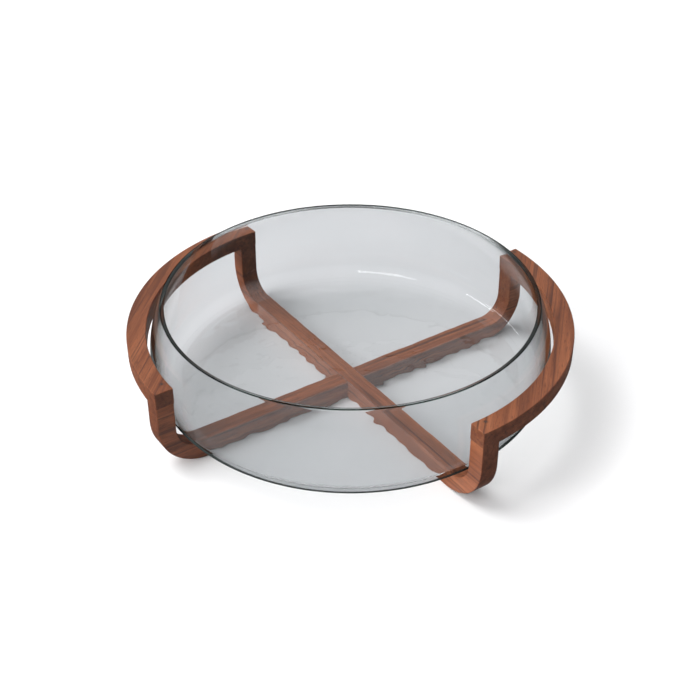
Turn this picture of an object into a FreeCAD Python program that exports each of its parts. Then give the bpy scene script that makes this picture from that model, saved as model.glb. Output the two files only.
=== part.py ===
import FreeCAD, Part
import math
import os

import Sketcher

# Chip and dip server: a shallow glass bowl in a low wooden stand.
# Millimetres. The origin is the centre of the stand on the table, +Z is up, and the handles lie on +X and -X.
# The two U-shaped frames of the stand cross under the bowl on the diagonals.

DIMENSIONS = {
    # Glass bowl. Heights are above the bowl's own base.
    "bowl_height": 74.4,
    "bowl_belly_radius": 148.7,
    "bowl_belly_height": 33.3,
    "bowl_wall_arc_radius": 86.9,
    "bowl_corner_radius": 19.5,
    "bowl_wall": 3.2,
    # U-shaped frames. Reach is from the stand's centre to the outer face of a post.
    "stand_reach": 165.0,
    "post_depth": 13.5,
    "post_top": 57.0,
    "rail_width": 14.0,
    "rail_height": 14.0,
    "outer_corner_radius": 37.5,
    "inner_corner_radius": 19.5,
    "lap_clearance": 0.05,
    # Handles. Reach is from the stand's centre to the middle of the outer face. The arcs' centre is beyond the
    # stand's own centre by the arc offset, so the handles are a little flatter than circles about the bowl.
    "handle_height": 12.5,
    "handle_reach": 164.2,
    "handle_depth": 14.2,
    "handle_arc_offset": 3.4,
    # Sanded edges of the wood
    "edge_ease": 0.6,
    # Dowels between each handle end and its post
    "dowel_radius": 2.5,
    "dowel_in_handle": 8.0,
    "dowel_in_post": 12.0,
    "dowel_ease": 0.4,
    # Headless pins, driven down on two lines parallel to Y
    "pin_radius": 0.9,
    "pin_point": 2.0,
    "pin_in_post": 12.0,
    "pin_line": 111.1,
    "pin_front": 108.2,
    "pin_back": 115.7,
    # Gap round a dowel or pin, and below its end
    "hole_gap": 0.05,
}

TOLERANCE = 1e-4
DIAGONAL = 45.0

# How Sketcher names a sketch's own axes and the points of a line or an arc
SKETCH_ORIGIN = (-1, 1)
SKETCH_X_AXIS = -1
START, END, CENTRE = 1, 2, 3

# Places that several sub-parts share, as expressions of sheet cells. A post's middle is on the diagonal.
POST_MIDDLE = "(dims.stand_reach - dims.post_depth / 2)"
POST_MIDDLE_XY = f"{POST_MIDDLE} * sqrt(0.5)"
DOWEL_HOLE_RADIUS = "dims.dowel_radius + dims.hole_gap"
PIN_HOLE_RADIUS = "dims.pin_radius + dims.hole_gap"


# ------------------------------------------------------------ shared steps


def make_sheet(doc):
    """The spreadsheet that holds every driving dimension, one alias to a row."""
    sheet = doc.addObject("Spreadsheet::Sheet", "dims")
    for row, (name, value) in enumerate(DIMENSIONS.items(), start=1):
        sheet.set(f"A{row}", name)
        sheet.set(f"B{row}", str(value))
        sheet.setAlias(f"B{row}", name)
    doc.recompute()
    return sheet


def make_body(doc, name):
    body = doc.addObject("PartDesign::Body", name)
    body.Label = name
    return body


def place_body(body, x_size, y_size, z_size):
    """Binds the body's place to expressions of sheet cells."""
    for axis, size in zip("xyz", (x_size, y_size, z_size)):
        body.setExpression(f"Placement.Base.{axis}", size)


def add_sketch(body, name, role, height=None):
    """A sketch on one of the body's own origin planes, raised along its normal by the expression height."""
    sketch = body.newObject("Sketcher::SketchObject", name)
    plane = next(item for item in body.Origin.OriginFeatures if item.Role == role)
    sketch.AttachmentSupport = [(plane, "")]
    sketch.MapMode = "FlatFace"
    if height is not None:
        sketch.setExpression("AttachmentOffset.Base.z", height)
    return sketch


def evaluate(item, size):
    return float(item.evalExpression(size))


def constrain(sketch, *details, size=None):
    """Adds one constraint. A size is an expression of sheet cells, and the constraint stays bound to it."""
    if size is None:
        sketch.addConstraint(Sketcher.Constraint(*details))
    else:
        index = sketch.addConstraint(Sketcher.Constraint(*details, evaluate(sketch, size)))
        sketch.setExpression(f"Constraints[{index}]", size)


def add_line(sketch, start, end):
    line = Part.LineSegment(FreeCAD.Vector(*start, 0), FreeCAD.Vector(*end, 0))
    return sketch.addGeometry(line, False)


def add_arc(sketch, centre, radius, start_angle, end_angle):
    """An arc that runs anticlockwise from one angle to another, in degrees."""
    circle = Part.Circle(FreeCAD.Vector(*centre, 0), FreeCAD.Vector(0, 0, 1), radius)
    arc = Part.ArcOfCircle(circle, math.radians(start_angle), math.radians(end_angle))
    return sketch.addGeometry(arc, False)


def add_circle(sketch, x_size, y_size, radius_size):
    """A circle whose centre and radius are expressions of sheet cells. With no y_size it is on the X axis."""
    x = evaluate(sketch, x_size)
    y = evaluate(sketch, y_size) if y_size else 0.0
    radius = evaluate(sketch, radius_size)
    outline = Part.Circle(FreeCAD.Vector(x, y, 0), FreeCAD.Vector(0, 0, 1), radius)
    circle = sketch.addGeometry(outline, False)
    constrain(sketch, "DistanceX", *SKETCH_ORIGIN, circle, CENTRE, size=x_size)
    if y_size:
        constrain(sketch, "DistanceY", *SKETCH_ORIGIN, circle, CENTRE, size=y_size)
    else:
        constrain(sketch, "PointOnObject", circle, CENTRE, SKETCH_X_AXIS)
    constrain(sketch, "Radius", circle, size=radius_size)


def add_pad(body, sketch, name, length, symmetric=False):
    pad = body.newObject("PartDesign::Pad", name)
    pad.Profile = sketch
    pad.SideType = "Symmetric" if symmetric else "One side"
    pad.setExpression("Length", length)
    return pad


def add_pocket(body, sketch, name, length, symmetric=False, upwards=False):
    """Cuts below the sketch, above it, or half the length on each side. It has to take material away."""
    body.Document.recompute()
    before = body.Shape.Volume
    pocket = body.newObject("PartDesign::Pocket", name)
    pocket.Profile = sketch
    pocket.SideType = "Symmetric" if symmetric else "One side"
    pocket.Reversed = upwards
    pocket.setExpression("Length", length)
    body.Document.recompute()
    if body.Shape.Volume > before - TOLERANCE:
        raise RuntimeError(f"{name} cuts nothing from {body.Label}")


def add_revolution(body, sketch, name):
    turned = body.newObject("PartDesign::Revolution", name)
    turned.Profile = sketch
    turned.ReferenceAxis = (sketch, ["V_Axis"])
    turned.Angle = 360


def edges_where(feature, wanted):
    """The names of the feature's edges whose bounding boxes pass the test."""
    edges = enumerate(feature.Shape.Edges, start=1)
    return [f"Edge{number}" for number, edge in edges if wanted(edge.BoundBox)]


def ease_edges(body, feature, wanted):
    """Rounds edges as sandpaper does."""
    body.Document.recompute()
    fillet = body.newObject("PartDesign::Fillet", "EasedEdges")
    fillet.Base = (feature, edges_where(feature, wanted))
    fillet.setExpression("Radius", "dims.edge_ease")


def near(a, b):
    return abs(a - b) < TOLERANCE


# -------------------------------------------------------------- glass bowl


def build_bowl(doc, dims):
    """One wall of even thickness, turned about the middle: flat base, round corner, belly and round lip."""
    body = make_body(doc, "glass_bowl")
    sketch = add_sketch(body, "WallSection", "XZ_Plane")

    wall = dims.bowl_wall
    corner = dims.bowl_corner_radius
    curve = dims.bowl_wall_arc_radius
    belly_x = dims.bowl_belly_radius - curve
    belly_z = dims.bowl_belly_height
    lip_z = dims.bowl_height - wall / 2

    # The corner arc touches the wall arc from inside, and the lip's centre is in the middle of the wall.
    corner_x = belly_x + math.sqrt((curve - corner) ** 2 - (belly_z - corner) ** 2)
    lip_x = belly_x + math.sqrt((curve - wall / 2) ** 2 - (lip_z - belly_z) ** 2)
    low_angle = math.degrees(math.atan2(corner - belly_z, corner_x - belly_x))
    lip_angle = math.degrees(math.atan2(lip_z - belly_z, lip_x - belly_x))

    base_outside = add_line(sketch, (0, 0), (corner_x, 0))
    corner_outside = add_arc(sketch, (corner_x, corner), corner, -90, low_angle)
    wall_outside = add_arc(sketch, (belly_x, belly_z), curve, low_angle, lip_angle)
    lip = add_arc(sketch, (lip_x, lip_z), wall / 2, lip_angle, lip_angle + 180)
    wall_inside = add_arc(sketch, (belly_x, belly_z), curve - wall, low_angle, lip_angle)
    corner_inside = add_arc(sketch, (corner_x, corner), corner - wall, -90, low_angle)
    base_inside = add_line(sketch, (corner_x, wall), (0, wall))
    middle = add_line(sketch, (0, wall), (0, 0))

    constrain(sketch, "Coincident", base_outside, START, *SKETCH_ORIGIN)
    constrain(sketch, "Tangent", base_outside, END, corner_outside, START)
    constrain(sketch, "Tangent", corner_outside, END, wall_outside, START)
    constrain(sketch, "Tangent", wall_outside, END, lip, START)
    constrain(sketch, "Tangent", lip, END, wall_inside, END)
    constrain(sketch, "Tangent", wall_inside, START, corner_inside, END)
    constrain(sketch, "Tangent", corner_inside, START, base_inside, START)
    constrain(sketch, "Coincident", base_inside, END, middle, START)
    constrain(sketch, "Coincident", middle, END, base_outside, START)
    constrain(sketch, "Coincident", corner_outside, CENTRE, corner_inside, CENTRE)
    constrain(sketch, "Coincident", wall_outside, CENTRE, wall_inside, CENTRE)
    constrain(sketch, "Horizontal", base_outside)
    constrain(sketch, "Horizontal", base_inside)
    constrain(sketch, "Vertical", middle)

    origin_to_belly = (*SKETCH_ORIGIN, wall_outside, CENTRE)
    belly_x_size = "dims.bowl_belly_radius - dims.bowl_wall_arc_radius"
    lip_z_size = "dims.bowl_height - dims.bowl_wall / 2"
    constrain(sketch, "Radius", corner_outside, size="dims.bowl_corner_radius")
    constrain(sketch, "Radius", wall_outside, size="dims.bowl_wall_arc_radius")
    constrain(sketch, "Radius", lip, size="dims.bowl_wall / 2")
    constrain(sketch, "DistanceX", *origin_to_belly, size=belly_x_size)
    constrain(sketch, "DistanceY", *origin_to_belly, size="dims.bowl_belly_height")
    constrain(sketch, "DistanceY", *SKETCH_ORIGIN, lip, CENTRE, size=lip_z_size)

    add_revolution(body, sketch, "TurnedWall")
    place_body(body, "0", "0", "dims.rail_height")
    return body


# --------------------------------------------------------- crossing frames


def draw_frame_outline(body, dims):
    """The U seen from its side: a rail and two posts, with a round heel and a round inner corner at each end."""
    sketch = add_sketch(body, "FrameOutline", "XZ_Plane")
    reach = dims.stand_reach
    inside = reach - dims.post_depth
    floor = dims.rail_height
    top = dims.post_top
    heel = dims.outer_corner_radius
    bend = dims.inner_corner_radius

    sole = add_line(sketch, (heel - reach, 0), (reach - heel, 0))
    right_heel = add_arc(sketch, (reach - heel, heel), heel, -90, 0)
    right_outside = add_line(sketch, (reach, heel), (reach, top))
    right_top = add_line(sketch, (reach, top), (inside, top))
    right_inside = add_line(sketch, (inside, top), (inside, floor + bend))
    right_bend = add_arc(sketch, (inside - bend, floor + bend), bend, -90, 0)
    rail_top = add_line(sketch, (inside - bend, floor), (bend - inside, floor))
    left_bend = add_arc(sketch, (bend - inside, floor + bend), bend, 180, 270)
    left_inside = add_line(sketch, (-inside, floor + bend), (-inside, top))
    left_top = add_line(sketch, (-inside, top), (-reach, top))
    left_outside = add_line(sketch, (-reach, top), (-reach, heel))
    left_heel = add_arc(sketch, (heel - reach, heel), heel, 180, 270)

    constrain(sketch, "Tangent", sole, END, right_heel, START)
    constrain(sketch, "Tangent", right_heel, END, right_outside, START)
    constrain(sketch, "Coincident", right_outside, END, right_top, START)
    constrain(sketch, "Coincident", right_top, END, right_inside, START)
    constrain(sketch, "Tangent", right_inside, END, right_bend, END)
    constrain(sketch, "Tangent", right_bend, START, rail_top, START)
    constrain(sketch, "Tangent", rail_top, END, left_bend, END)
    constrain(sketch, "Tangent", left_bend, START, left_inside, START)
    constrain(sketch, "Coincident", left_inside, END, left_top, START)
    constrain(sketch, "Coincident", left_top, END, left_outside, START)
    constrain(sketch, "Tangent", left_outside, END, left_heel, START)
    constrain(sketch, "Tangent", left_heel, END, sole, START)
    constrain(sketch, "PointOnObject", sole, START, SKETCH_X_AXIS)
    for level in (sole, right_top, rail_top, left_top):
        constrain(sketch, "Horizontal", level)
    for upright in (right_outside, right_inside, left_inside, left_outside):
        constrain(sketch, "Vertical", upright)

    for arc in (right_heel, left_heel):
        constrain(sketch, "Radius", arc, size="dims.outer_corner_radius")
    for arc in (right_bend, left_bend):
        constrain(sketch, "Radius", arc, size="dims.inner_corner_radius")
    for post_end in (right_top, left_top):
        constrain(sketch, "DistanceX", post_end, END, post_end, START, size="dims.post_depth")
        constrain(sketch, "DistanceY", *SKETCH_ORIGIN, post_end, START, size="dims.post_top")
    constrain(sketch, "DistanceX", *SKETCH_ORIGIN, right_outside, END, size="dims.stand_reach")
    constrain(sketch, "DistanceX", left_outside, START, *SKETCH_ORIGIN, size="dims.stand_reach")
    constrain(sketch, "DistanceY", *SKETCH_ORIGIN, rail_top, START, size="dims.rail_height")
    return sketch


def draw_lap_notch(body, dims, upper):
    """One rail wide and half a rail high, from below in the upper rail and from above in the lower one."""
    sketch = add_sketch(body, "LapNotch", "XZ_Plane")
    half_width = dims.rail_width / 2 + dims.lap_clearance
    half_size = "dims.rail_width / 2 + dims.lap_clearance"
    meeting_z = dims.rail_height / 2
    mouth_z = 0 if upper else dims.rail_height

    meeting = add_line(sketch, (-half_width, meeting_z), (half_width, meeting_z))
    right = add_line(sketch, (half_width, meeting_z), (half_width, mouth_z))
    mouth = add_line(sketch, (half_width, mouth_z), (-half_width, mouth_z))
    left = add_line(sketch, (-half_width, mouth_z), (-half_width, meeting_z))

    constrain(sketch, "Coincident", meeting, END, right, START)
    constrain(sketch, "Coincident", right, END, mouth, START)
    constrain(sketch, "Coincident", mouth, END, left, START)
    constrain(sketch, "Coincident", left, END, meeting, START)
    for level in (meeting, mouth):
        constrain(sketch, "Horizontal", level)
    for upright in (right, left):
        constrain(sketch, "Vertical", upright)
    constrain(sketch, "DistanceX", *SKETCH_ORIGIN, right, START, size=half_size)
    constrain(sketch, "DistanceX", left, START, *SKETCH_ORIGIN, size=half_size)
    constrain(sketch, "DistanceY", *SKETCH_ORIGIN, right, START, size="dims.rail_height / 2")
    if upper:
        constrain(sketch, "PointOnObject", mouth, START, SKETCH_X_AXIS)
    else:
        constrain(sketch, "DistanceY", *SKETCH_ORIGIN, right, END, size="dims.rail_height")
    return sketch


def bore_post_tops(body, front):
    """The dowel and pin holes in both posts. front is 1 where the front post is on the body's +X, else -1."""
    dowels = add_sketch(body, "DowelHoles", "XY_Plane", height="dims.post_top")
    add_circle(dowels, POST_MIDDLE, None, DOWEL_HOLE_RADIUS)
    add_circle(dowels, f"-1 * {POST_MIDDLE}", None, DOWEL_HOLE_RADIUS)
    add_pocket(body, dowels, "DowelBores", "dims.dowel_in_post + dims.hole_gap")

    # The pins are set out on the stand's own axes, half a right angle from this body's.
    pins = add_sketch(body, "PinHoles", "XY_Plane", height="dims.post_top")
    add_circle(
        pins,
        f"{front} * (dims.pin_line + dims.pin_front) * sqrt(0.5)",
        "(dims.pin_line - dims.pin_front) * sqrt(0.5)",
        PIN_HOLE_RADIUS,
    )
    add_circle(
        pins,
        f"{-front} * (dims.pin_line + dims.pin_back) * sqrt(0.5)",
        "(dims.pin_back - dims.pin_line) * sqrt(0.5)",
        PIN_HOLE_RADIUS,
    )
    add_pocket(body, pins, "PinBores", "dims.pin_in_post + dims.hole_gap")


def build_frame(doc, dims, name, upper):
    """One U-shaped frame, sawn from a single board. The upper one runs from back left to front right."""
    body = make_body(doc, name)
    outline = draw_frame_outline(body, dims)
    board = add_pad(body, outline, "Board", "dims.rail_width", symmetric=True)

    def on_side_face(box):
        flat = near(box.YMin, box.YMax) and near(abs(box.YMin), dims.rail_width / 2)
        return flat and not near(box.ZMin, dims.post_top)

    ease_edges(body, board, on_side_face)
    notch = draw_lap_notch(body, dims, upper)
    add_pocket(body, notch, "Lap", "2 * dims.rail_width", symmetric=True)
    bore_post_tops(body, 1 if upper else -1)
    turn = -DIAGONAL if upper else DIAGONAL
    body.Placement = FreeCAD.Placement(
        FreeCAD.Vector(0, 0, 0), FreeCAD.Rotation(FreeCAD.Vector(0, 0, 1), turn)
    )
    return body


# ----------------------------------------------------------------- handles


def draw_handle_outline(body, dims):
    """A part ring, from the far side of one post to the far side of the next. Each end is cut flush with the
    side face of the frame below it."""
    sketch = add_sketch(body, "HandleOutline", "XY_Plane")
    half_width = dims.rail_width / 2
    offset = dims.handle_arc_offset
    outer = dims.handle_reach + offset
    inner = outer - dims.handle_depth
    slant = math.sqrt(0.5)

    def ring_point(radius, side):
        """Where an arc meets the end cut, found by its distance along the diagonal from the stand's centre."""
        rest = half_width**2 + offset**2 - 2 * half_width * offset * slant - radius**2
        along = math.sqrt((offset * slant) ** 2 - rest) - offset * slant
        return slant * (along - half_width), side * slant * (along + half_width)

    def end_angle(radius):
        x, y = ring_point(radius, 1)
        return math.degrees(math.atan2(y, x + offset))

    centre = (-offset, 0)
    outside = add_arc(sketch, centre, outer, -end_angle(outer), end_angle(outer))
    inside = add_arc(sketch, centre, inner, -end_angle(inner), end_angle(inner))
    plus_end = add_line(sketch, ring_point(inner, 1), ring_point(outer, 1))
    minus_end = add_line(sketch, ring_point(inner, -1), ring_point(outer, -1))

    outer_size = "dims.handle_reach + dims.handle_arc_offset"
    constrain(sketch, "PointOnObject", outside, CENTRE, SKETCH_X_AXIS)
    constrain(sketch, "DistanceX", outside, CENTRE, *SKETCH_ORIGIN, size="dims.handle_arc_offset")
    constrain(sketch, "Coincident", inside, CENTRE, outside, CENTRE)
    constrain(sketch, "Coincident", outside, END, plus_end, END)
    constrain(sketch, "Coincident", inside, END, plus_end, START)
    constrain(sketch, "Coincident", outside, START, minus_end, END)
    constrain(sketch, "Coincident", inside, START, minus_end, START)
    constrain(sketch, "Radius", outside, size=outer_size)
    constrain(sketch, "Radius", inside, size=f"{outer_size} - dims.handle_depth")
    constrain(sketch, "Angle", plus_end, math.radians(DIAGONAL))
    constrain(sketch, "Perpendicular", plus_end, minus_end)
    for end in (plus_end, minus_end):
        constrain(sketch, "Distance", *SKETCH_ORIGIN, end, size="dims.rail_width / 2")
    return sketch


def bore_handle(body, front):
    """Blind dowel holes from below, and pin holes right through. front is the sign of Y on the stand's front."""
    dowels = add_sketch(body, "DowelHoles", "XY_Plane")
    for side in (1, -1):
        add_circle(dowels, POST_MIDDLE_XY, f"{side} * {POST_MIDDLE_XY}", DOWEL_HOLE_RADIUS)
    dowel_depth = "dims.dowel_in_handle + dims.hole_gap"
    add_pocket(body, dowels, "DowelBores", dowel_depth, upwards=True)

    pins = add_sketch(body, "PinHoles", "XY_Plane")
    add_circle(pins, "dims.pin_line", f"{front} * dims.pin_front", PIN_HOLE_RADIUS)
    add_circle(pins, "dims.pin_line", f"{-front} * dims.pin_back", PIN_HOLE_RADIUS)
    add_pocket(body, pins, "PinBores", "2 * dims.handle_height", upwards=True)


def build_handle(doc, dims, name, left):
    """One curved handle on two post tops. The left one is drawn on the right, then turned half a turn."""
    body = make_body(doc, name)
    outline = draw_handle_outline(body, dims)
    board = add_pad(body, outline, "Board", "dims.handle_height")

    def above_seam(box):
        return box.ZMax > TOLERANCE

    ease_edges(body, board, above_seam)
    bore_handle(body, 1 if left else -1)
    turn = 180 if left else 0
    body.Placement = FreeCAD.Placement(
        FreeCAD.Vector(0, 0, 0), FreeCAD.Rotation(FreeCAD.Vector(0, 0, 1), turn)
    )
    body.setExpression("Placement.Base.z", "dims.post_top")
    return body


# --------------------------------------------------------- dowels and pins


def build_dowel(doc, name, side, depth):
    """A plain wooden dowel with eased ends. side and depth are the signs of its X and Y."""
    body = make_body(doc, name)
    sketch = add_sketch(body, "DowelSection", "XY_Plane")
    circle = sketch.addGeometry(Part.Circle(), False)
    constrain(sketch, "Coincident", circle, CENTRE, *SKETCH_ORIGIN)
    constrain(sketch, "Radius", circle, size="dims.dowel_radius")
    rod = add_pad(body, sketch, "Rod", "dims.dowel_in_post + dims.dowel_in_handle")
    doc.recompute()

    def at_an_end(box):
        return near(box.ZMin, box.ZMax)

    chamfer = body.newObject("PartDesign::Chamfer", "EasedEnds")
    chamfer.Base = (rod, edges_where(rod, at_an_end))
    chamfer.setExpression("Size", "dims.dowel_ease")
    place_body(
        body,
        f"{side} * {POST_MIDDLE_XY}",
        f"{depth} * {POST_MIDDLE_XY}",
        "dims.post_top - dims.dowel_in_post",
    )
    return body


def build_pin(doc, dims, name, side, depth):
    """A headless pin with a point, flush with the top of the handle. side and depth are the signs of X and Y."""
    body = make_body(doc, name)
    sketch = add_sketch(body, "PinSection", "XZ_Plane")
    radius = dims.pin_radius
    length = dims.pin_in_post + dims.handle_height

    point = add_line(sketch, (0, 0), (radius, dims.pin_point))
    shank = add_line(sketch, (radius, dims.pin_point), (radius, length))
    top = add_line(sketch, (radius, length), (0, length))
    middle = add_line(sketch, (0, length), (0, 0))
    constrain(sketch, "Coincident", point, START, *SKETCH_ORIGIN)
    constrain(sketch, "Coincident", point, END, shank, START)
    constrain(sketch, "Coincident", shank, END, top, START)
    constrain(sketch, "Coincident", top, END, middle, START)
    constrain(sketch, "Coincident", middle, END, point, START)
    constrain(sketch, "Vertical", shank)
    constrain(sketch, "Vertical", middle)
    constrain(sketch, "Horizontal", top)
    constrain(sketch, "DistanceX", *SKETCH_ORIGIN, point, END, size="dims.pin_radius")
    constrain(sketch, "DistanceY", *SKETCH_ORIGIN, point, END, size="dims.pin_point")
    length_size = "dims.pin_in_post + dims.handle_height"
    constrain(sketch, "DistanceY", *SKETCH_ORIGIN, top, END, size=length_size)

    add_revolution(body, sketch, "TurnedPin")
    y_size = "dims.pin_back" if depth > 0 else "-1 * dims.pin_front"
    z_size = "dims.post_top - dims.pin_in_post"
    place_body(body, f"{side} * dims.pin_line", y_size, z_size)
    return body


# ---------------------------------------------------------- check and write


def check_document(doc):
    for item in doc.Objects:
        if "Invalid" in item.State or "Error" in item.State:
            raise RuntimeError(f"{item.Label} failed: {item.State}")


def check_body(body):
    if body.Shape.isNull() or not body.Shape.isValid():
        raise RuntimeError(f"{body.Label} has no valid shape")
    if len(body.Shape.Solids) != 1:
        raise RuntimeError(f"{body.Label} has {len(body.Shape.Solids)} solids")


def build_server():
    doc = FreeCAD.newDocument("chip_and_dip_server")
    dims = make_sheet(doc)
    bodies = [
        build_bowl(doc, dims),
        build_frame(doc, dims, "upper_cross_frame", upper=True),
        build_frame(doc, dims, "lower_cross_frame", upper=False),
        build_handle(doc, dims, "right_handle", left=False),
        build_handle(doc, dims, "left_handle", left=True),
    ]
    for depth_name, depth in (("front", -1), ("back", 1)):
        for side_name, side in (("left", -1), ("right", 1)):
            corner = f"{depth_name}_{side_name}"
            bodies.append(build_dowel(doc, f"{corner}_dowel", side, depth))
            bodies.append(build_pin(doc, dims, f"{corner}_pin", side, depth))
    doc.recompute()
    check_document(doc)
    for body in bodies:
        check_body(body)
    return bodies


def write_parts(bodies):
    os.makedirs("parts", exist_ok=True)
    for body in bodies:
        body.Shape.exportStep(f"parts/{body.Label}.step")
        print(f"{body.Label}: {body.Shape.Volume / 1000:.2f} cm3")


write_parts(build_server())
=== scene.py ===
"""Looks for a clear glass serving bowl in a low stand of reddish-brown wood.

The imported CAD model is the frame: its wooden pieces, dowels and pins stay as they are and get
procedural materials. The glass bowl is built again here as a finer, slightly uneven mesh.
All lengths are in metres, in the model's own frame: +Z up, -Y the open front. Angles in the
constants are in degrees, and colours are linear (red, green, blue).
"""

import math

import bpy
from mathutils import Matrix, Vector, noise


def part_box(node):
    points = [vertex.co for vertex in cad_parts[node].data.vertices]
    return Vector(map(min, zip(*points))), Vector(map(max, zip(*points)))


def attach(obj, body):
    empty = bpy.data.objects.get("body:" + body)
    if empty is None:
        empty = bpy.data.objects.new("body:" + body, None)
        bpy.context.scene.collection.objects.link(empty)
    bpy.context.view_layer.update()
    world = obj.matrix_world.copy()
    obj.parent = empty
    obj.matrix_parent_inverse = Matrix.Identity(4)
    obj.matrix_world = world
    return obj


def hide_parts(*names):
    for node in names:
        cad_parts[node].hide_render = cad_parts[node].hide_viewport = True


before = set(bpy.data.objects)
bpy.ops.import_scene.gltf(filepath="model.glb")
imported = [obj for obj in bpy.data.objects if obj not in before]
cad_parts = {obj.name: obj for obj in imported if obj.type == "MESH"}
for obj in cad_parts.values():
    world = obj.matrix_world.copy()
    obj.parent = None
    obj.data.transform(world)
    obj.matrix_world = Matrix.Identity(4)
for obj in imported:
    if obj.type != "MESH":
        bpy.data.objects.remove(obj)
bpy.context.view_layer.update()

MM = 0.001

# Camera, placed round a point in the middle of the object.
CAMERA_TARGET = Vector((-0.4 * MM, 0.0, 38.5 * MM))
CAMERA_AZIMUTH = 10.82
CAMERA_ELEVATION = 34.79
CAMERA_DISTANCE = 963.0 * MM
CAMERA_LENS = 65.7
CAMERA_SENSOR = 36.0

# The bowl's section, measured from the underside of its base.
WALL = 3.2 * MM
BELLY_HEIGHT = 33.3 * MM
WALL_ARC_RADIUS = 86.9 * MM
CORNER_RADIUS = 19.5 * MM
TURN_STEPS = 384
WALL_STEPS = 40
CORNER_STEPS = 20
LIP_STEPS = 12
BASE_STEP = 2.2 * MM

# Rings of faces that are the brim, just outside below the lip, and the neck, just inside below it.
BRIM_STEPS = 1
NECK_STEPS = 2

# Unevenness of the bowl's floor: (height, length) of each layer of waves. They calm down towards the corner.
RIPPLES = ((0.34 * MM, 7.0 * MM), (0.5 * MM, 17.0 * MM))
CALM_WIDTH = CORNER_RADIUS / 2
FLOOR_TOLERANCE = WALL / 10

# Material slots of the bowl.
BASE, WALLS, CORNER, BRIM, LIP, NECK = range(6)

# Glass. Edges are (start, end, shade): the Layer Weight facing between which the painted edge shade comes in.
GLASS_IOR = 1.5
GLASS_STOPS = ((0.35, (0.945, 0.955, 0.96)), (0.65, (0.965, 0.97, 0.975)))
GLASS_CLEAR = (0.905, 0.91, 0.91)
HAZE_SCALE = 22.0
# Painted shade: each edge shade darkens the glass where it is seen edge-on, in place of the dark its edges
# would refract.
BASE_EDGE = (0.88, 1.0, (0.55, 0.60, 0.58))
WALL_EDGE = (0.60, 0.84, (0.28, 0.34, 0.32))
CORNER_EDGE = (0.62, 0.74, (0.40, 0.43, 0.42))
NECK_EDGE = (0.52, 0.75, (0.30, 0.34, 0.33))
# Painted shade: the corner glass gets a dark diffuse outline at its edge, and just inside it a grey
# see-through band without reflections.
OUTLINE_COLOUR = (0.035, 0.042, 0.040)
UNMIRRORED_FACING = (0.30, 0.48)
UNMIRRORED_COLOUR = (0.66, 0.67, 0.68)
# Painted shade: the dark line under the lip, painted on the inside of the brim's faces.
BRIM_LINE_COLOUR = (0.04, 0.055, 0.05)

# Lip. Places across it run from -1 at its inner side to 1 at its outer side.
# The lip's dark lines are painted shade, standing in for the dark that refraction through the round lip would
# give.
OUTER_LINE_RISE = (0.28, 0.52)
OUTER_LINE_FALL = (0.86, 0.96)
BACK_LINE_PLACE = (-0.35, 0.05)
INNER_LINE_PLACE = (-0.25, -0.60)
INNER_LINE_FACING = (0.46, 0.70)
INNER_LINE_STRENGTH = 0.85
END_ON_FACING = (0.44, 0.22)
END_ON_STRENGTH = 0.75
END_ON_PLACE = (0.95, 1.10)
LIP_TINT_AND_PAINTED_SHADE = ((0.97, 0.985, 0.985), (0.055, 0.085, 0.07))
LIP_GLOSS_AND_PAINTED_SHADE = ((1.0, 1.0, 1.0), (0.15, 0.16, 0.16))
LIP_ROUGHNESS = 0.03

# Wood. Figures are waves per metre along the grain and across it.
WOOD_STOPS = (
    (0.30, (0.095, 0.029, 0.013)),
    (0.43, (0.170, 0.053, 0.023)),
    (0.54, (0.240, 0.079, 0.034)),
    (0.70, (0.330, 0.122, 0.056)),
)
DRIFT = (6.0, 30.0)
STREAKS = (9.0, 230.0)
FIBRES = (45.0, 900.0)
PORES = (170.0, 2600.0)
LINES = (4.0, 560.0)
STREAK_SHARE = 0.62
DRIFT_SHARE = 0.38
STREAK_BENDS = 0.4
LINE_BENDS = 0.3
LINE_RANGE = (0.57, 0.68)
LINE_STRENGTH = 0.75
LINE_COLOUR = (0.060, 0.022, 0.014)
FIBRE_RANGE = (0.30, 0.70)
FIBRE_SHADES = (0.80, 1.18)
PORE_RANGE = (0.60, 0.72)
PORE_STRENGTH = 0.65
PORE_COLOUR = (0.045, 0.014, 0.008)
PORE_DEPTH = 0.8
END_GRAIN_RANGE = (0.30, 0.85)
END_GRAIN_STRENGTH = 0.48
END_GRAIN_COLOUR = (0.050, 0.016, 0.010)
STAIN_RADII = (0.8 * MM, 2.6 * MM)
STAIN_STRENGTH = 0.55
STAIN_COLOUR = (0.040, 0.020, 0.016)
OIL_RANGE = (0.25, 0.75)
OIL_ROUGHNESS = (0.42, 0.56)
OIL_IOR = 1.45
RELIEF_STRENGTH = 0.35
RELIEF_HEIGHT = 0.12 * MM
SEED_SHARES = (1.0, 0.37, 0.21)

# Each wooden piece: turn of its grain from +X, place in the grain pattern, and a brightness scale.
# The frames' scale of 1.12 is painted light: it brightens the frames, whose rails lie under the glass, to
# make up for the light the glass takes from them.
UPPER_FRAME_WOOD = (-45.0, 0.31, 1.12)
LOWER_FRAME_WOOD = (45.0, 1.27, 1.12)
RIGHT_HANDLE_WOOD = (90.0, 2.43, 1.0)
LEFT_HANDLE_WOOD = (90.0, 3.59, 1.0)

# Dowels and pins.
DOWEL_GRAIN = (900.0, 900.0, 40.0)
DOWEL_STOPS = ((0.35, (0.45, 0.30, 0.16)), (0.65, (0.66, 0.49, 0.30)))
DOWEL_ROUGHNESS = (0.55, 0.70)
SCUFF_SCALE = 2500.0
PIN_STOPS = ((0.35, (0.05, 0.04, 0.035)), (0.65, (0.12, 0.10, 0.09)))
PIN_METAL = 0.8
PIN_ROUGHNESS = (0.4, 0.6)
WEAR_RANGE = (0.3, 0.7)

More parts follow.
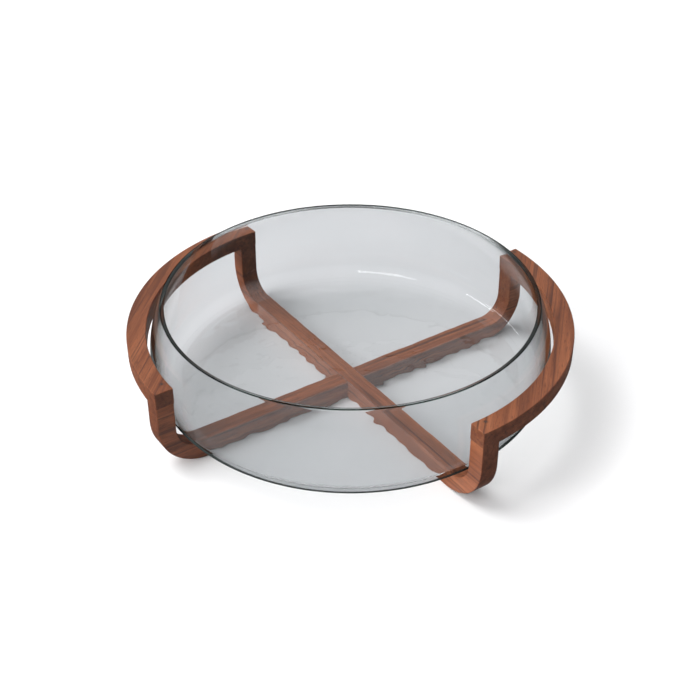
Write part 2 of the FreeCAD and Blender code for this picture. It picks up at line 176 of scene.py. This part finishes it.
# Floor. The ring, as distances from the middle, is seen only in reflections.
FLOOR_SIZE = 8.0
FLOOR_DROP = 0.2 * MM
FLOOR_SEEN = (0.86, 0.86, 0.865)
FLOOR_THROUGH_GLASS = (0.565, 0.575, 0.59)
FLOOR_MIRRORED = (0.10, 0.10, 0.10)
RING_MIRRORED = (0.70, 0.71, 0.72)
RING_RISE = (120.0 * MM, 131.0 * MM)
RING_FALL = (148.0 * MM, 165.0 * MM)

# Sky, as it lights rough surfaces, as it shines in gloss, and as it is seen.
SKY_AZIMUTH = -80.0
SKY_ELEVATION = 55.0
SKY_STOPS = (
    (0.50, (0.04, 0.04, 0.04)),
    (0.68, (0.16, 0.16, 0.165)),
    (0.82, (0.60, 0.60, 0.61)),
    (1.00, (1.0, 1.0, 1.0)),
)
SHINE_STOPS = (
    (0.10, (0.05, 0.05, 0.05)),
    (0.35, (0.42, 0.43, 0.44)),
    (0.65, (0.75, 0.76, 0.77)),
    (1.00, (0.85, 0.85, 0.86)),
)
SKY_SEEN = (1.0, 1.0, 1.0)
SKY_THROUGH_GLASS = (0.52, 0.53, 0.545)

# Soft lamps: name, azimuth, elevation, spread, strength.
SOFT_LAMPS = (
    ("key", -88.0, 62.0, 34.0, 1.9),
    ("fill", -42.0, 20.0, 50.0, 3.2),
)

# Strip lamps: name, azimuth, elevation, width, height, power.
STRIP_LAMPS = (
    ("front_strip", -12.0, 53.0, 0.8, 0.12, 2.3),
    ("left_strip", -84.0, 36.0, 0.8, 0.10, 1.7),
)
STRIP_DISTANCE = 2.0


def direction(azimuth, elevation):
    """Unit vector towards a compass direction in degrees: azimuth 0 is towards -Y and 90 towards +X."""
    turn = math.radians(azimuth)
    rise = math.radians(elevation)
    return Vector((
        math.sin(turn) * math.cos(rise),
        -math.cos(turn) * math.cos(rise),
        math.sin(rise),
    ))


class Graph:
    """Adds shader nodes to one node tree and links them."""

    def __init__(self, tree):
        self.nodes = tree.nodes
        self.links = tree.links
        self.nodes.clear()

    def add(self, kind, **settings):
        """A new node. Settings are attributes of the node."""
        node = self.nodes.new("ShaderNode" + kind)
        for name, value in settings.items():
            setattr(node, name, value)
        return node

    def feed(self, socket, value):
        """Sets a socket to a value, or links another node's output to it."""
        if isinstance(value, bpy.types.NodeSocket):
            self.links.new(value, socket)
        else:
            socket.default_value = value

    def maths(self, operation, first, second=0.0):
        node = self.add("Math", operation=operation)
        self.feed(node.inputs[0], first)
        self.feed(node.inputs[1], second)
        return node.outputs[0]

    def vector_maths(self, operation, first, second=(0.0, 0.0, 0.0)):
        """A vector sum, product, cross product or unit vector."""
        node = self.add("VectorMath", operation=operation)
        self.feed(node.inputs[0], first)
        self.feed(node.inputs[1], second)
        return node.outputs["Vector"]

    def vector_value(self, operation, first, second=(0.0, 0.0, 0.0)):
        """A length or a dot product."""
        node = self.add("VectorMath", operation=operation)
        self.feed(node.inputs[0], first)
        self.feed(node.inputs[1], second)
        return node.outputs["Value"]

    def scaled(self, vector, scale):
        node = self.add("Mapping", vector_type="POINT")
        self.feed(node.inputs["Vector"], vector)
        node.inputs["Scale"].default_value = scale
        return node.outputs["Vector"]

    def noise(self, vector, scale, detail=2.0, roughness=0.5, distortion=0.0):
        node = self.add("TexNoise")
        self.feed(node.inputs["Vector"], vector)
        node.inputs["Scale"].default_value = scale
        node.inputs["Detail"].default_value = detail
        node.inputs["Roughness"].default_value = roughness
        node.inputs["Distortion"].default_value = distortion
        return node.outputs["Fac"]

    def remap(self, value, old, new=(0.0, 1.0)):
        """Maps the old range to the new one in a straight line."""
        node = self.add("MapRange")
        self.feed(node.inputs["Value"], value)
        node.inputs["From Min"].default_value = old[0]
        node.inputs["From Max"].default_value = old[1]
        node.inputs["To Min"].default_value = new[0]
        node.inputs["To Max"].default_value = new[1]
        return node.outputs["Result"]

    def ease(self, value, old, new=(0.0, 1.0)):
        """Maps the old range to the new one with soft ends."""
        result = self.remap(value, old, new)
        result.node.interpolation_type = "SMOOTHSTEP"
        return result

    def ramp(self, factor, stops):
        """A colour ramp. Stops are (position, colour)."""
        node = self.add("ValToRGB")
        elements = node.color_ramp.elements
        while len(elements) < len(stops):
            elements.new(0.5)
        for element, (position, colour) in zip(elements, stops):
            element.position = position
            element.color = (*colour, 1.0)
        self.feed(node.inputs["Fac"], factor)
        return node.outputs["Color"]

    def mix(self, factor, first, second, blend="MIX"):
        """Mixes two colours. Each is a socket or (red, green, blue)."""
        node = self.add("Mix", data_type="RGBA", blend_type=blend)
        self.feed(node.inputs["Factor"], factor)
        for socket, colour in ((node.inputs[6], first), (node.inputs[7], second)):
            self.feed(socket, (*colour, 1.0) if isinstance(colour, tuple) else colour)
        return node.outputs[2]

    def plain(self, kind, colour):
        """A shader of one colour."""
        node = self.add(kind)
        node.inputs["Color"].default_value = (*colour, 1.0)
        return node.outputs[0]

    def mix_shaders(self, factor, first, second):
        """The first shader where the factor is 0 and the second where it is 1."""
        node = self.add("MixShader")
        self.feed(node.inputs[0], factor)
        self.feed(node.inputs[1], first)
        self.feed(node.inputs[2], second)
        return node.outputs["Shader"]

    def finish(self, shader, kind="OutputMaterial"):
        self.feed(self.add(kind).inputs["Surface"], shader)


def new_material(name):
    material = bpy.data.materials.new(name)
    material.use_nodes = True
    return material, Graph(material.node_tree)


def wood_colour(graph, figures, painted_light_scale):
    """Warm streaks, with dark lines, fibres and pores."""
    drift, streaks, fibres, pores, lines = figures
    body = graph.maths(
        "ADD",
        graph.maths("MULTIPLY", streaks, STREAK_SHARE),
        graph.maths("MULTIPLY", drift, DRIFT_SHARE),
    )
    # The ramp's colours are scaled by the piece's brightness scale, which is painted light where it is above
    # 1.
    stops = [(place, [painted_light_scale * part for part in colour]) for place, colour in WOOD_STOPS]
    colour = graph.ramp(body, stops)
    colour = graph.mix(graph.ease(lines, LINE_RANGE, (0.0, LINE_STRENGTH)), colour, LINE_COLOUR)
    fibre_shade = graph.remap(fibres, FIBRE_RANGE, FIBRE_SHADES)
    shade = graph.add("CombineColor")
    for socket in shade.inputs:
        graph.feed(socket, fibre_shade)
    colour = graph.mix(1.0, colour, shade.outputs["Color"], "MULTIPLY")
    return graph.mix(pores, colour, PORE_COLOUR)


def darken_end_grain(graph, colour, turn):
    """Darkens the faces that are square to the grain."""
    normal = graph.add("NewGeometry").outputs["Normal"]
    grain = (math.cos(turn), math.sin(turn), 0.0)
    square = graph.maths("ABSOLUTE", graph.vector_value("DOT_PRODUCT", normal, grain))
    return graph.mix(graph.ease(square, END_GRAIN_RANGE, (0.0, END_GRAIN_STRENGTH)), colour, END_GRAIN_COLOUR)


def stain_spot(graph, colour, coords, spot):
    """A dark stain round an upright pin."""
    offset = graph.vector_maths("SUBTRACT", coords, spot)
    flat = graph.vector_maths("MULTIPLY", offset, (1.0, 1.0, 0.0))
    away = graph.vector_value("LENGTH", flat)
    return graph.mix(graph.ease(away, STAIN_RADII, (STAIN_STRENGTH, 0.0)), colour, STAIN_COLOUR)


def wood_material(name, look, pin_spots=()):
    """Oiled reddish-brown wood."""
    grain_turn, seed, painted_light_scale = look
    turn = math.radians(grain_turn)
    material, graph = new_material(name)
    coords = graph.add("TexCoord").outputs["Object"]
    turned = graph.add("Mapping", vector_type="POINT")
    graph.feed(turned.inputs["Vector"], coords)
    turned.inputs["Rotation"].default_value = (0.0, 0.0, -turn)
    turned.inputs["Location"].default_value = tuple(seed * share for share in SEED_SHARES)
    along = turned.outputs["Vector"]

    def figure(waves, detail, roughness, bends=0.0):
        lengthwise, across = waves
        stretched = graph.scaled(along, (lengthwise, across, across))
        return graph.noise(stretched, 1.0, detail, roughness, bends)

    drift = figure(DRIFT, 2.0, 0.5)
    streaks = figure(STREAKS, 3.0, 0.6, STREAK_BENDS)
    fibres = figure(FIBRES, 3.0, 0.6)
    pores = graph.ease(figure(PORES, 1.0, 0.5), PORE_RANGE, (0.0, PORE_STRENGTH))
    lines = figure(LINES, 2.0, 0.5, LINE_BENDS)
    colour = wood_colour(graph, (drift, streaks, fibres, pores, lines), painted_light_scale)
    colour = darken_end_grain(graph, colour, turn)
    for spot in pin_spots:
        colour = stain_spot(graph, colour, coords, spot)

    shader = graph.add("BsdfPrincipled")
    graph.feed(shader.inputs["Base Color"], colour)
    graph.feed(shader.inputs["Roughness"], graph.remap(fibres, OIL_RANGE, OIL_ROUGHNESS))
    shader.inputs["IOR"].default_value = OIL_IOR
    bump = graph.add("Bump")
    bump.inputs["Strength"].default_value = RELIEF_STRENGTH
    bump.inputs["Distance"].default_value = RELIEF_HEIGHT
    relief = graph.maths("SUBTRACT", fibres, graph.maths("MULTIPLY", pores, PORE_DEPTH))
    graph.feed(bump.inputs["Height"], relief)
    graph.feed(shader.inputs["Normal"], bump.outputs["Normal"])
    graph.finish(shader.outputs["BSDF"])
    return material


def dowel_material():
    """Pale plain hardwood with a fine upright grain."""
    material, graph = new_material("dowel_wood")
    coords = graph.add("TexCoord").outputs["Object"]
    grain = graph.noise(graph.scaled(coords, DOWEL_GRAIN), 1.0, 3.0, 0.55)
    shader = graph.add("BsdfPrincipled")
    graph.feed(shader.inputs["Base Color"], graph.ramp(grain, DOWEL_STOPS))
    graph.feed(shader.inputs["Roughness"], graph.remap(grain, WEAR_RANGE, DOWEL_ROUGHNESS))
    graph.finish(shader.outputs["BSDF"])
    return material


def pin_material():
    """Dark, dull steel with fine scuffs."""
    material, graph = new_material("pin_steel")
    coords = graph.add("TexCoord").outputs["Object"]
    scuffs = graph.noise(coords, SCUFF_SCALE, 3.0, 0.6)
    shader = graph.add("BsdfPrincipled")
    graph.feed(shader.inputs["Base Color"], graph.ramp(scuffs, PIN_STOPS))
    shader.inputs["Metallic"].default_value = PIN_METAL
    graph.feed(shader.inputs["Roughness"], graph.remap(scuffs, WEAR_RANGE, PIN_ROUGHNESS))
    graph.finish(shader.outputs["BSDF"])
    return material


def glass_material(name, edge_look, outlined=False, painted_line_inside=False):
    """Clear glass, darker where it is seen edge-on: painted shade, standing in for the dark its edges would
    refract. Lamps shine through it, and so do the reflections in other glass. Outlined glass mirrors nothing
    near its edge and has a painted dark outline there, and glass with a painted line inside paints the dark
    line under the lip."""
    edge_start, edge_end, edge_shade = edge_look
    material, graph = new_material(name)
    coords = graph.add("TexCoord").outputs["Object"]
    facing = graph.add("LayerWeight").outputs["Facing"]
    edge = graph.ease(facing, (edge_start, edge_end))
    haze = graph.noise(coords, HAZE_SCALE, 3.0, 0.55)
    shader = graph.add("BsdfPrincipled")
    # Painted shade: the glass colour darkens to the edge shade where the glass is seen edge-on.
    graph.feed(shader.inputs["Base Color"], graph.mix(edge, graph.ramp(haze, GLASS_STOPS), edge_shade))
    shader.inputs["Roughness"].default_value = 0.0
    shader.inputs["IOR"].default_value = GLASS_IOR
    shader.inputs["Transmission Weight"].default_value = 1.0
    seen = shader.outputs["BSDF"]
    if outlined:
        # Painted shade: a grey see-through band without reflections, then a painted dark outline at the edge.
        unmirrored = graph.ease(facing, UNMIRRORED_FACING)
        seen = graph.mix_shaders(unmirrored, seen, graph.plain("BsdfTransparent", UNMIRRORED_COLOUR))
        seen = graph.mix_shaders(edge, seen, graph.plain("BsdfDiffuse", OUTLINE_COLOUR))
    if painted_line_inside:
        # Painted shade: seen from inside, the brim is a dark diffuse line.
        inside = graph.add("NewGeometry").outputs["Backfacing"]
        seen = graph.mix_shaders(inside, seen, graph.plain("BsdfDiffuse", BRIM_LINE_COLOUR))
    clear = graph.plain("BsdfTransparent", GLASS_CLEAR)
    path = graph.add("LightPath")
    for ray in ("Is Shadow Ray", "Is Reflection Ray", "Is Diffuse Ray"):
        seen = graph.mix_shaders(path.outputs[ray], seen, clear)
    graph.finish(seen)
    return material


def painted_lip_shade(graph, flat, lip_radius):
    """Where painted shade darkens the lip, in place of the dark its refraction would give: a line round its
    outer side, one seen through it, one round its inner side, and all of it where it is seen end-on. flat is
    the place without its height."""
    facing = graph.add("LayerWeight").outputs["Facing"]
    inside = graph.add("NewGeometry").outputs["Backfacing"]
    offset = graph.maths("SUBTRACT", graph.vector_value("LENGTH", flat), lip_radius)
    place = graph.maths("DIVIDE", offset, WALL / 2)
    falling = (1.0, 0.0)
    outer_line = graph.maths(
        "MULTIPLY",
        graph.ease(place, OUTER_LINE_RISE),
        graph.ease(place, OUTER_LINE_FALL, falling),
    )
    back_line = graph.maths("MULTIPLY", inside, graph.ease(place, BACK_LINE_PLACE))
    inner_line = graph.maths(
        "MULTIPLY",
        graph.ease(place, INNER_LINE_PLACE),
        graph.ease(facing, INNER_LINE_FACING, (0.0, INNER_LINE_STRENGTH)),
    )
    lengthwise = graph.add("LayerWeight")
    tangent = graph.vector_maths("CROSS_PRODUCT", flat, (0.0, 0.0, 1.0))
    graph.feed(lengthwise.inputs["Normal"], graph.vector_maths("NORMALIZE", tangent))
    end_on = graph.maths(
        "MULTIPLY",
        graph.ease(lengthwise.outputs["Facing"], END_ON_FACING, (0.0, END_ON_STRENGTH)),
        graph.ease(place, END_ON_PLACE, falling),
    )
    dark = outer_line
    for part in (back_line, inner_line, end_on):
        dark = graph.maths("MAXIMUM", dark, part)
    return dark


def rim_material(lip_radius):
    """The round lip: clear and glossy, with painted dark lines of shade, which also dim its reflections."""
    material, graph = new_material("rim_glass")
    coords = graph.add("TexCoord").outputs["Object"]
    flat = graph.vector_maths("MULTIPLY", coords, (1.0, 1.0, 0.0))
    dark = painted_lip_shade(graph, flat, lip_radius)
    clear = graph.add("BsdfTransparent")
    # Painted shade: the see-through colour and the reflection darken along the painted lines.
    graph.feed(clear.inputs["Color"], graph.mix(dark, *LIP_TINT_AND_PAINTED_SHADE))
    gloss = graph.add("BsdfGlossy")
    gloss.inputs["Roughness"].default_value = LIP_ROUGHNESS
    graph.feed(gloss.inputs["Color"], graph.mix(dark, *LIP_GLOSS_AND_PAINTED_SHADE))
    fresnel = graph.add("Fresnel")
    fresnel.inputs["IOR"].default_value = GLASS_IOR
    graph.finish(graph.mix_shaders(fresnel.outputs[0], clear.outputs["BSDF"], gloss.outputs["BSDF"]))
    return material


def arc_points(centre, radius, start, end, steps):
    """Points (r, z) on an arc, without its first point. Angles are from +r towards +z."""
    points = []
    for step in range(1, steps + 1):
        angle = start + (end - start) * step / steps
        points.append((centre[0] + radius * math.cos(angle), centre[1] + radius * math.sin(angle)))
    return points


def bowl_section(low, high):
    """The bowl's closed section from the axis: base underside, outer wall, lip, inner wall, floor. Also the
    number of rings in the base, and the radius of the lip's middle."""
    belly_radius = (high.x - low.x) / 2
    base_z = low.z
    wall_centre = (belly_radius - WALL_ARC_RADIUS, base_z + BELLY_HEIGHT)
    corner_z = base_z + CORNER_RADIUS
    reach = WALL_ARC_RADIUS - CORNER_RADIUS
    corner_angle = -math.asin((wall_centre[1] - corner_z) / reach)
    corner_centre = (wall_centre[0] + reach * math.cos(corner_angle), corner_z)
    lip_z = high.z - WALL / 2
    middle_radius = WALL_ARC_RADIUS - WALL / 2
    lip_angle = math.asin((lip_z - wall_centre[1]) / middle_radius)
    lip_centre = (wall_centre[0] + middle_radius * math.cos(lip_angle), lip_z)
    down = -math.pi / 2
    inner_wall = WALL_ARC_RADIUS - WALL
    inner_corner = CORNER_RADIUS - WALL

    base_rings = int(corner_centre[0] / BASE_STEP)
    base = [corner_centre[0] * ring / base_rings for ring in range(1, base_rings + 1)]
    outer = [(radius, base_z) for radius in base]
    outer += arc_points(corner_centre, CORNER_RADIUS, down, corner_angle, CORNER_STEPS)
    outer += arc_points(wall_centre, WALL_ARC_RADIUS, corner_angle, lip_angle, WALL_STEPS)
    lip = arc_points(lip_centre, WALL / 2, lip_angle, lip_angle + math.pi, LIP_STEPS)
    inner = arc_points(wall_centre, inner_wall, lip_angle, corner_angle, WALL_STEPS)
    inner += arc_points(corner_centre, inner_corner, corner_angle, down, CORNER_STEPS)
    inner += [(radius, base_z + WALL) for radius in reversed(base[:-1])]
    return outer + lip + inner, base_rings, lip_centre[0]


def ring_slots(ring_count, base_rings):
    """The material slot of each ring of faces, from the base's underside out and round to its top."""
    slots = [BASE] * (base_rings - 1)
    slots += [CORNER] * (CORNER_STEPS + 1)
    slots += [WALLS] * (WALL_STEPS - 1 - BRIM_STEPS)
    slots += [BRIM] * BRIM_STEPS
    slots += [LIP] * LIP_STEPS
    slots += [NECK] * NECK_STEPS
    slots += [WALLS] * (WALL_STEPS - NECK_STEPS)
    slots += [BASE] * (ring_count - len(slots))
    return slots


def turn_section(section, slots, floor_z):
    """Vertices, faces and each face's slot, with the section turned round the Z axis."""
    vertices = [(0.0, 0.0, section[0][1])]
    for radius, height in section:
        for turn in range(TURN_STEPS):
            angle = 2 * math.pi * turn / TURN_STEPS
            vertices.append((radius * math.cos(angle), radius * math.sin(angle), height))
    vertices.append((0.0, 0.0, floor_z))
    top = len(vertices) - 1
    last = top - TURN_STEPS
    faces = []
    face_slots = []
    for turn in range(TURN_STEPS):
        following = (turn + 1) % TURN_STEPS
        faces.append((0, 1 + following, 1 + turn))
        faces.append((top, last + turn, last + following))
        face_slots += [BASE, BASE]
        for ring, slot in enumerate(slots):
            lower = 1 + ring * TURN_STEPS
            upper = lower + TURN_STEPS
            faces.append((lower + turn, lower + following, upper + following, upper + turn))
            face_slots.append(slot)
    return vertices, faces, face_slots


def ripple(point):
    """Height of the floor's gentle unevenness at a point, from smooth noise."""
    return sum(noise.noise(point / length) * height for height, length in RIPPLES)


def ripple_floor(mesh, floor_z, flat_radius):
    """Makes the bowl's floor uneven, and leaves it even where the corner starts."""
    for vertex in mesh.vertices:
        radius = math.hypot(vertex.co.x, vertex.co.y)
        calm = min(1.0, max(0.0, (flat_radius - radius) / CALM_WIDTH))
        if abs(vertex.co.z - floor_z) < FLOOR_TOLERANCE and calm > 0.0:
            vertex.co.z += calm * ripple(vertex.co)


def build_bowl():
    """The bowl, turned from its section, with a slightly uneven floor."""
    low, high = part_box("glass_bowl")
    section, base_rings, lip_radius = bowl_section(low, high)
    floor_z = low.z + WALL
    slots = ring_slots(len(section) - 1, base_rings)
    vertices, faces, face_slots = turn_section(section, slots, floor_z)
    mesh = bpy.data.meshes.new("clear_bowl")
    mesh.from_pydata(vertices, [], faces)
    ripple_floor(mesh, floor_z, (high.x - low.x) / 2 - CORNER_RADIUS)
    mesh.shade_smooth()
    bowl = bpy.data.objects.new("clear_bowl", mesh)
    bpy.context.scene.collection.objects.link(bowl)
    mesh.materials.append(glass_material("base_glass", BASE_EDGE))
    mesh.materials.append(glass_material("wall_glass", WALL_EDGE))
    mesh.materials.append(glass_material("corner_glass", CORNER_EDGE, outlined=True))
    mesh.materials.append(glass_material("brim_glass", WALL_EDGE, painted_line_inside=True))
    mesh.materials.append(rim_material(lip_radius))
    mesh.materials.append(glass_material("neck_glass", NECK_EDGE))
    for face, slot in zip(mesh.polygons, face_slots):
        face.material_index = slot
    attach(bowl, "bowl")
    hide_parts("glass_bowl")


def set_material(node, material):
    """Gives a CAD node one material in place of its own."""
    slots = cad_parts[node].data.materials
    slots.clear()
    slots.append(material)


def pin_places(side):
    """Middles of the two pins in one handle."""
    places = []
    for end in ("front", "back"):
        low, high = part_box(f"{end}_{side}_pin")
        places.append(tuple((low + high) / 2))
    return places


def finish_frame():
    """Materials for the wooden pieces, the dowels and the pins."""
    set_material("upper_cross_frame", wood_material("upper_frame_wood", UPPER_FRAME_WOOD))
    set_material("lower_cross_frame", wood_material("lower_frame_wood", LOWER_FRAME_WOOD))
    set_material("right_handle", wood_material("right_handle_wood", RIGHT_HANDLE_WOOD, pin_places("right")))
    set_material("left_handle", wood_material("left_handle_wood", LEFT_HANDLE_WOOD, pin_places("left")))
    dowels = dowel_material()
    pins = pin_material()
    for corner in ("front_left", "front_right", "back_left", "back_right"):
        set_material(f"{corner}_dowel", dowels)
        set_material(f"{corner}_pin", pins)


def floor_material():
    """White where seen directly, light grey where seen through glass, and dark with a light ring where seen
    in reflections."""
    material, graph = new_material("pale_floor")
    seen = graph.plain("BsdfDiffuse", FLOOR_SEEN)
    behind = graph.plain("BsdfDiffuse", FLOOR_THROUGH_GLASS)
    mirrored = graph.add("BsdfDiffuse")
    away = graph.vector_value("LENGTH", graph.add("TexCoord").outputs["Object"])
    ring = graph.maths("MULTIPLY", graph.ease(away, RING_RISE), graph.ease(away, RING_FALL, (1.0, 0.0)))
    graph.feed(mirrored.inputs["Color"], graph.mix(ring, FLOOR_MIRRORED, RING_MIRRORED))
    path = graph.add("LightPath")
    surface = graph.mix_shaders(path.outputs["Is Glossy Ray"], behind, mirrored.outputs["BSDF"])
    surface = graph.mix_shaders(path.outputs["Is Transmission Ray"], surface, behind)
    surface = graph.mix_shaders(path.outputs["Is Camera Ray"], surface, seen)
    graph.finish(surface)
    return material


def build_floor():
    """A plain pale floor."""
    half = FLOOR_SIZE / 2
    corners = [(-half, -half, 0.0), (half, -half, 0.0), (half, half, 0.0), (-half, half, 0.0)]
    mesh = bpy.data.meshes.new("floor")
    mesh.from_pydata(corners, [], [(0, 1, 2, 3)])
    mesh.materials.append(floor_material())
    floor = bpy.data.objects.new("floor", mesh)
    floor.location.z = -FLOOR_DROP
    bpy.context.scene.collection.objects.link(floor)


def build_sky():
    """A studio sky: it lights from above and the left, shines by height, and is white where seen."""
    world = bpy.data.worlds.new("studio")
    bpy.context.scene.world = world
    world.use_nodes = True
    graph = Graph(world.node_tree)
    coords = graph.add("TexCoord").outputs["Generated"]
    lean = tuple(direction(SKY_AZIMUTH, SKY_ELEVATION))
    height = graph.remap(graph.vector_value("DOT_PRODUCT", coords, lean), (-1.0, 1.0))
    lit = graph.add("Background")
    graph.feed(lit.inputs["Color"], graph.ramp(height, SKY_STOPS))
    rise = graph.vector_value("DOT_PRODUCT", coords, (0.0, 0.0, 1.0))
    shine = graph.add("Background")
    graph.feed(shine.inputs["Color"], graph.ramp(rise, SHINE_STOPS))
    path = graph.add("LightPath")
    sky = graph.mix_shaders(path.outputs["Is Diffuse Ray"], shine.outputs[0], lit.outputs[0])
    pale = graph.plain("Background", SKY_THROUGH_GLASS)
    sky = graph.mix_shaders(path.outputs["Is Transmission Ray"], sky, pale)
    white = graph.plain("Background", SKY_SEEN)
    sky = graph.mix_shaders(path.outputs["Is Camera Ray"], sky, white)
    graph.finish(sky, "OutputWorld")


def place_lamp(lamp, name, towards):
    """Puts a lamp into the scene so that it shines from one direction. No refracted ray sees it."""
    light = bpy.data.objects.new(name, lamp)
    light.rotation_mode = "QUATERNION"
    light.rotation_quaternion = towards.to_track_quat("Z", "Y")
    light.visible_transmission = False
    bpy.context.scene.collection.objects.link(light)
    return light


def soft_lamp(name, azimuth, elevation, spread, strength):
    """A very wide, far lamp, which lights softly and evenly and shows in no reflection."""
    lamp = bpy.data.lights.new(name, "SUN")
    lamp.angle = math.radians(spread)
    lamp.energy = strength
    light = place_lamp(lamp, name, direction(azimuth, elevation))
    light.visible_glossy = False


def strip_lamp(name, azimuth, elevation, width, height, power):
    """A long narrow lamp that shows only as a thin line in the glass and as sheen on the wood."""
    lamp = bpy.data.lights.new(name, "AREA")
    lamp.shape = "RECTANGLE"
    lamp.size = width
    lamp.size_y = height
    lamp.energy = power
    towards = direction(azimuth, elevation)
    light = place_lamp(lamp, name, towards)
    light.location = towards * STRIP_DISTANCE
    light.visible_diffuse = False


def light_room():
    """Soft light: the studio sky, two wide soft lamps and two thin strips."""
    build_sky()
    for settings in SOFT_LAMPS:
        soft_lamp(*settings)
    for settings in STRIP_LAMPS:
        strip_lamp(*settings)


def place_camera():
    """The camera looks down from the front, a little to the right."""
    data = bpy.data.cameras.new("camera")
    data.sensor_width = CAMERA_SENSOR
    data.lens = CAMERA_LENS
    camera = bpy.data.objects.new("camera", data)
    back = direction(CAMERA_AZIMUTH, CAMERA_ELEVATION)
    camera.location = CAMERA_TARGET + back * CAMERA_DISTANCE
    camera.rotation_mode = "QUATERNION"
    camera.rotation_quaternion = back.to_track_quat("Z", "Y")
    bpy.context.scene.collection.objects.link(camera)
    bpy.context.scene.camera = camera


place_camera()
bpy.context.scene.view_settings.view_transform = "Standard"
finish_frame()
build_bowl()
build_floor()
light_room()
